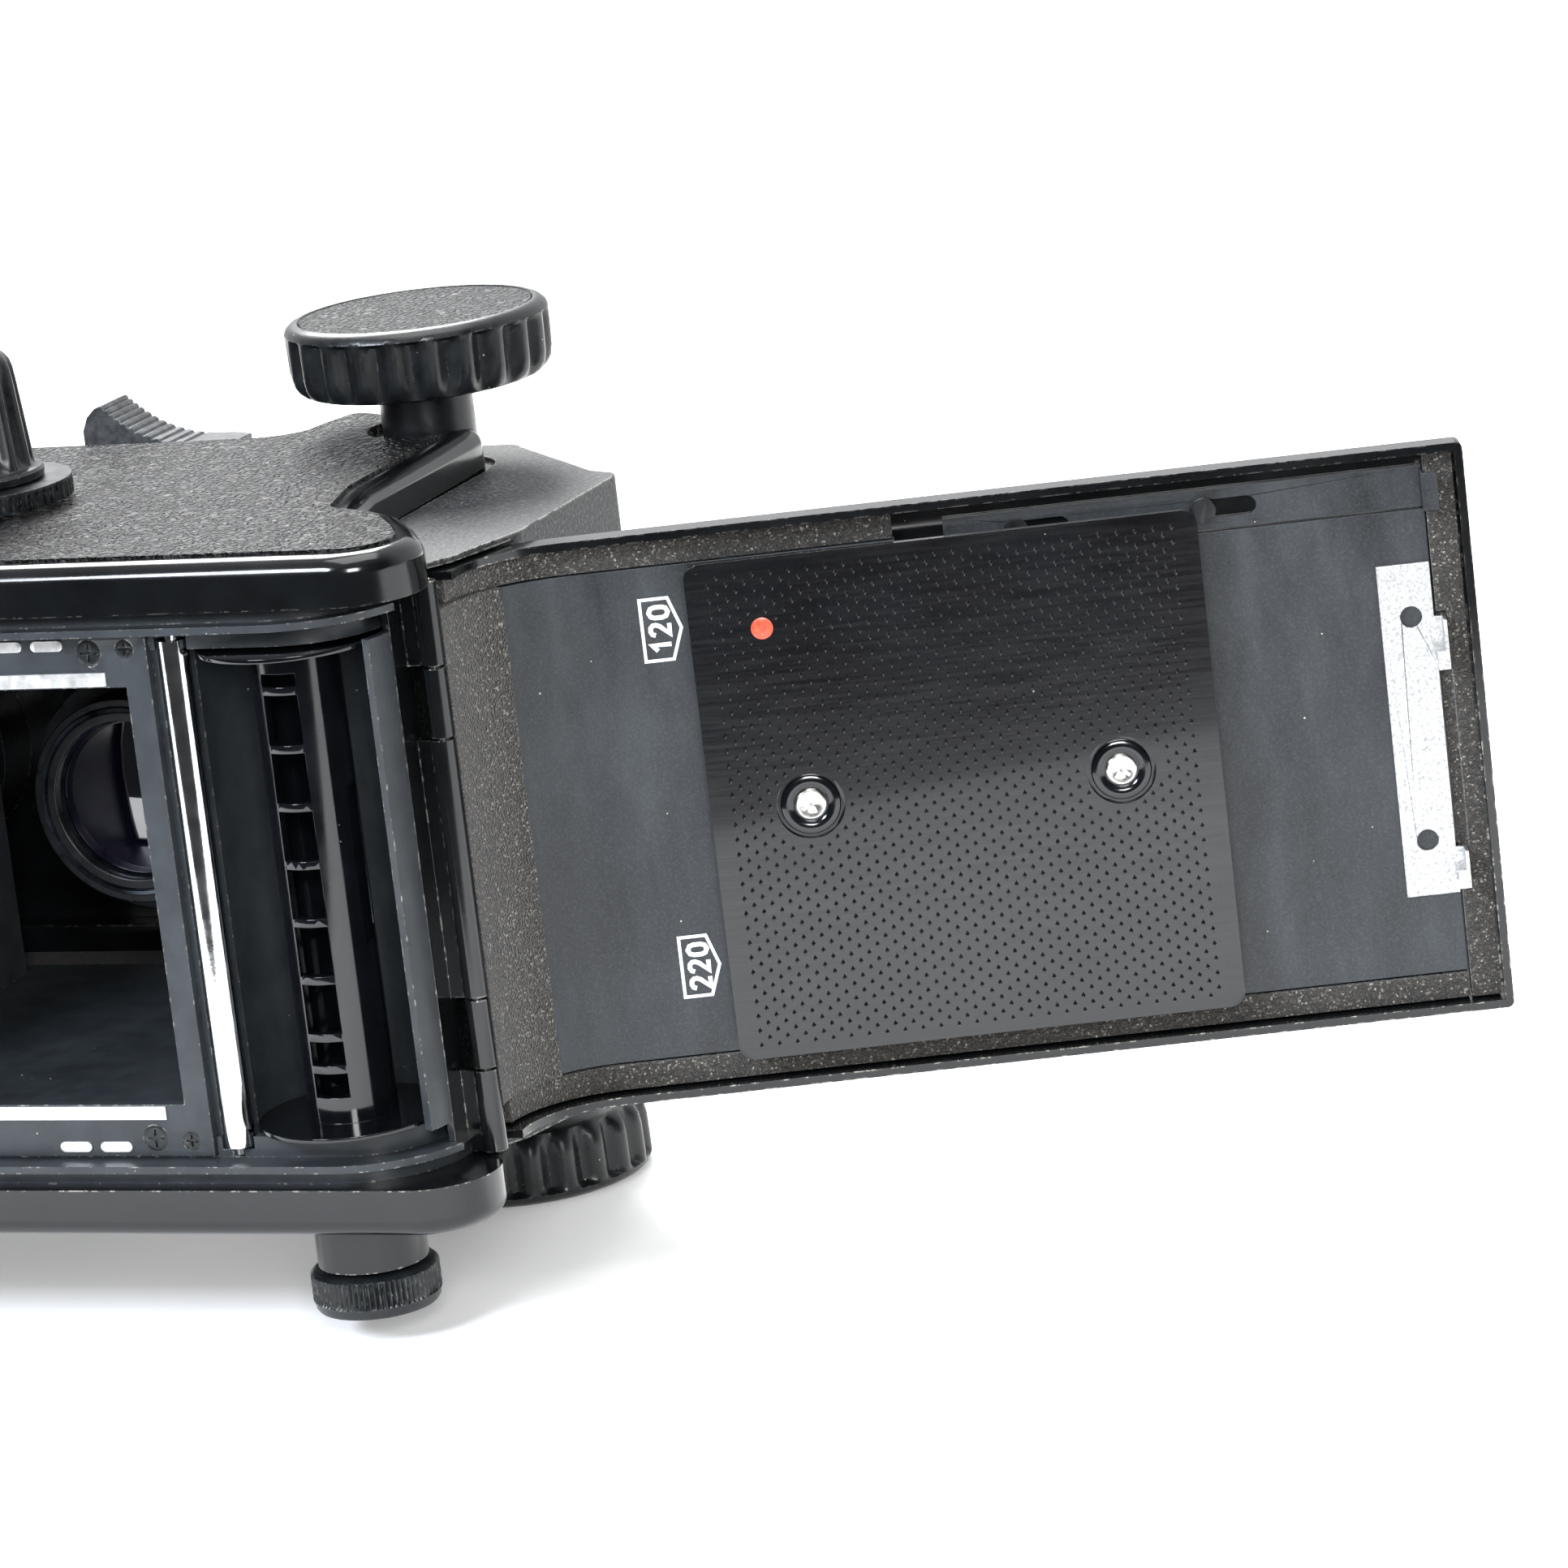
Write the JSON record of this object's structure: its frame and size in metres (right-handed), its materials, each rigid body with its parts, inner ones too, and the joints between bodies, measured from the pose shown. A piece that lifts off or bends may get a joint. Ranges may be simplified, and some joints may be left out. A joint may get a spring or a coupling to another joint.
{
  "type": "twin lens reflex camera",
  "caption": "Medium-format roll-film camera with paired lenses on a bellows standard, folding hood and hinged film back, shown open on its side.",
  "frame": {"origin": "mouth of the tripod socket in the base of the camera", "axes": "+X out of the camera's base, +Y forward through the lenses, +Z to the viewer's right; the camera lies on its left side with the back open"},
  "size_m": [0.3227, 0.113, 0.128],
  "materials": {
    "body_black": "gloss black enamel on die-cast aluminium",
    "crackle_black": "fine crackle enamel on die-cast aluminium",
    "matte_black": "matte light-trap paint on aluminium",
    "covering": "grained leatherette",
    "steel": "bare steel",
    "chrome": "polished",
    "marking_white": "white printing ink of the film marks",
    "marking_red": "orange-red enamel dot",
    "gloss_plastic": "moulded black",
    "foam": "light-seal foam",
    "cloth": "bellows cloth",
    "glass": "coated",
    "screen": "ground",
    "mirror": "front silvered",
    "aluminium": "black anodised",
    "grey_sheet": "grey sheet"
  },
  "bodies": {
    "camera_body": {"body_casting": "matte_black", "side_panel_right": "body_black", "side_panel_left": "body_black", "leatherette_right": "covering", "leatherette_left": "covering", "base_block": "crackle_black", "tripod_bush": "steel", "film_gate": "matte_black", "film_rails": "chrome", "gate_screws": "steel", "chamber_spring": "gloss_plastic", "spring_roller": "chrome", "film_tab": "grey_sheet", "hinge_leaf": "body_black", "hinge_pin": "steel", "reflex_mirror": "mirror", "mirror_holder": "matte_black", "focusing_screen": "screen", "finder_base": "body_black", "strap_lugs": "steel", "accessory_shoe": "steel", "bellows": "cloth", "release_pivot": "steel"},
    "lower_roller": {"roller_lower": "chrome"},
    "upper_roller": {"roller_upper": "chrome"},
    "back_door": {"door_shell": "body_black", "door_liner": "matte_black", "door_seals": "foam", "door_catch": "steel", "door_hinge_leaf": "body_black", "slide_rivets": "steel", "plate_carrier": "steel"},
    "film_pressure_plate": {"pressure_plate": "body_black", "plate_studs": "chrome"},
    "lock_bar": {"lock_slide": "matte_black"},
    "focus_drive": {"focus_shaft": "steel", "focus_knob_right": "gloss_plastic", "focus_knob_left": "gloss_plastic", "knob_discs": "covering"},
    "lens_standard": {"front_standard": "body_black", "lens_board": "aluminium", "taking_barrel": "aluminium", "viewing_barrel": "aluminium", "lens_glass": "glass"},
    "aperture_control": {"aperture_ring": "aluminium"},
    "cocking_control": {"cocking_lever": "aluminium"},
    "film_wind": {"wind_knob": "gloss_plastic", "wind_dial": "aluminium"},
    "film_supply": {"supply_spool": "gloss_plastic"},
    "film_takeup": {"takeup_spool": "gloss_plastic", "takeup_key": "steel"},
    "lower_spool_knob": {"release_knob_lower": "gloss_plastic"},
    "upper_spool_knob": {"release_knob_upper": "gloss_plastic"},
    "shutter_release": {"release_lever": "aluminium"},
    "finder_lid": {"hood_lid": "body_black"},
    "finder_rear": {"hood_rear": "body_black"},
    "finder_left": {"hood_left": "body_black"},
    "finder_right": {"hood_right": "body_black"},
    "finder_magnifier": {"magnifier": "aluminium"}
  },
  "joints": [
    {"name": "back_door_hinge", "type": "hinge", "parent": "camera_body", "child": "back_door", "pos_m": [-0.00412, -0.0325, 0], "axis": [0, 0, 1], "range_deg": [-201.14, 0]},
    {"name": "pressure_plate_turn", "type": "hinge", "parent": "back_door", "child": "film_pressure_plate", "pos_m": [0.05255, 0.00362, 0], "axis": [0.3606, -0.9327, 0], "range_deg": [0, 90]},
    {"name": "lock_bar_slide", "type": "slide", "parent": "back_door", "child": "lock_bar", "axis": [-0.9327, -0.3606, 0], "range_m": [0, 0.0055]},
    {"name": "focus_extension", "type": "slide", "parent": "camera_body", "child": "lens_standard", "axis": [0, 1, 0], "range_m": [0, 0.046], "deforming": ["bellows"]},
    {"name": "focus_knobs", "type": "hinge", "parent": "camera_body", "child": "focus_drive", "pos_m": [-0.0302, 0.0312, 0], "axis": [0, 0, 1], "range_deg": [-659.9, 0]},
    {"name": "aperture_turn", "type": "hinge", "parent": "lens_standard", "child": "aperture_control", "pos_m": [-0.07, 0.05, 0], "axis": [0, 1, 0], "range_deg": [0, 70]},
    {"name": "shutter_cock", "type": "hinge", "parent": "lens_standard", "child": "cocking_control", "pos_m": [-0.07, 0.0527, 0], "axis": [0, 1, 0], "range_deg": [0, 40]},
    {"name": "wind_turn", "type": "hinge", "parent": "camera_body", "child": "film_wind", "pos_m": [-0.077, -0.0129, 0], "axis": [0, 0, 1], "continuous": true},
    {"name": "takeup_turn", "type": "hinge", "parent": "camera_body", "child": "film_takeup", "pos_m": [-0.11815, -0.03637, 0], "axis": [0, 0, 1], "continuous": true},
    {"name": "supply_turn", "type": "hinge", "parent": "camera_body", "child": "film_supply", "pos_m": [-0.02185, -0.03637, 0], "axis": [0, 0, 1], "continuous": true},
    {"name": "lower_roller_turn", "type": "hinge", "parent": "camera_body", "child": "lower_roller", "pos_m": [-0.0353, -0.0433, 0], "axis": [0, 0, 1], "continuous": true},
    {"name": "upper_roller_turn", "type": "hinge", "parent": "camera_body", "child": "upper_roller", "pos_m": [-0.1047, -0.0433, 0], "axis": [0, 0, 1], "continuous": true},
    {"name": "lower_spool_release", "type": "slide", "parent": "camera_body", "child": "lower_spool_knob", "axis": [0, 0, -1], "range_m": [0, 0.004], "stiffness_N_per_m": 1500, "springref_m": -0.002},
    {"name": "upper_spool_release", "type": "slide", "parent": "camera_body", "child": "upper_spool_knob", "axis": [0, 0, -1], "range_m": [0, 0.004], "stiffness_N_per_m": 1500, "springref_m": -0.002},
    {"name": "shutter_press", "type": "hinge", "parent": "camera_body", "child": "shutter_release", "pos_m": [-0.063, 0.035, 0.0415], "axis": [0, 1, 0], "range_deg": [-10, 0], "stiffness_Nm_per_rad": 0.08, "springref_deg": 2.86},
    {"name": "finder_lid_fold", "type": "hinge", "parent": "camera_body", "child": "finder_lid", "pos_m": [-0.1596, 0.0284, 0], "axis": [0, 0, 1], "range_deg": [0, 90]},
    {"name": "finder_rear_fold", "type": "hinge", "parent": "camera_body", "child": "finder_rear", "pos_m": [-0.1552, -0.022, 0], "axis": [0, 0, -1], "range_deg": [0, 90]},
    {"name": "finder_left_fold", "type": "hinge", "parent": "camera_body", "child": "finder_left", "pos_m": [-0.1534, 0.003, -0.03], "axis": [0, 1, 0], "range_deg": [0, 90]},
    {"name": "finder_right_fold", "type": "hinge", "parent": "camera_body", "child": "finder_right", "pos_m": [-0.1516, 0.003, 0.03], "axis": [0, -1, 0], "range_deg": [0, 90]},
    {"name": "magnifier_swing", "type": "hinge", "parent": "finder_lid", "child": "finder_magnifier", "pos_m": [-0.2042, 0.0265, 0], "axis": [0, 0, 1], "range_deg": [-90, 0]}
  ],
  "couplings": [
    {"joint": "focus_knobs", "follows": "focus_extension", "rad_per_m": -250},
    {"joint": "takeup_turn", "follows": "wind_turn", "ratio": 1}
  ]
}
